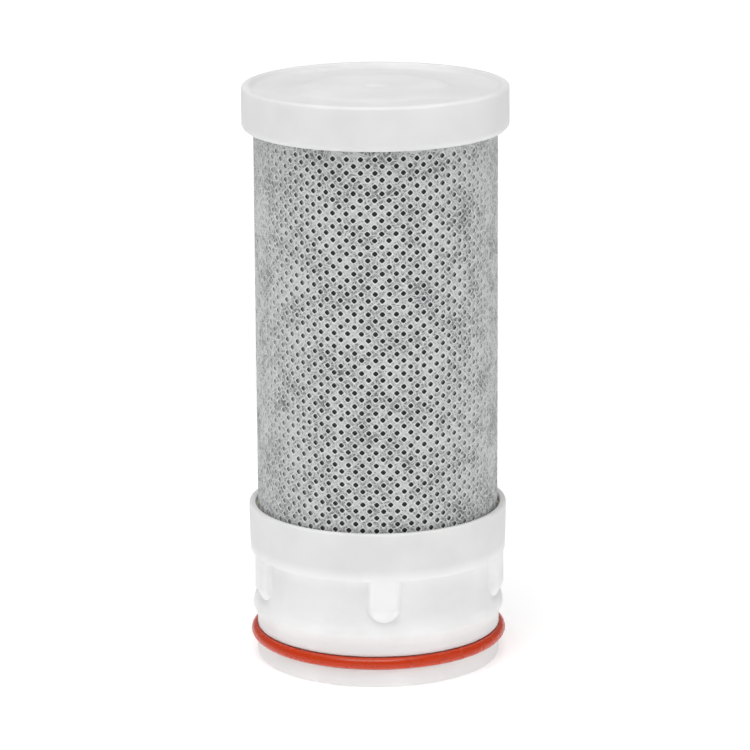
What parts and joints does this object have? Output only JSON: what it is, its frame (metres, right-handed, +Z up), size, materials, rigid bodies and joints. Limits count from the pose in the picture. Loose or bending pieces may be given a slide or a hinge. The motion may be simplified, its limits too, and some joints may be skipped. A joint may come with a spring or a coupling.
{
  "type": "pump water filter cartridge",
  "caption": "Cylindrical radial-flow cartridge of a hand-pumped camping water filter: white cap, nonwoven-wrapped carbon block, ribbed base with O-ring neck and central outlet.",
  "frame": {"origin": "on the axis at the foot of the base", "axes": "+Z up the axis from the base to the end cap; one outer rib faces -Y and the lap of the wrap faces +Y"},
  "size_m": [0.04, 0.04, 0.0884],
  "materials": {
    "white_plastic": "satin moulded polypropylene",
    "wrap": "point-bonded nonwoven, pale grey over black",
    "carbon": "matte sintered carbon",
    "liner": "fine white nonwoven",
    "core_plastic": "natural moulded polypropylene",
    "adhesive": "beige potting adhesive",
    "seal": "red-orange silicone"
  },
  "bodies": {
    "root": {"end_cap": "white_plastic", "cap_adhesive": "adhesive", "outer_wrap": "wrap", "carbon_block": "carbon", "inner_liner": "liner", "core_tube": "core_plastic", "base_adhesive": "adhesive", "base_collar": "white_plastic", "o_ring": "seal"}
  },
  "joints": []
}
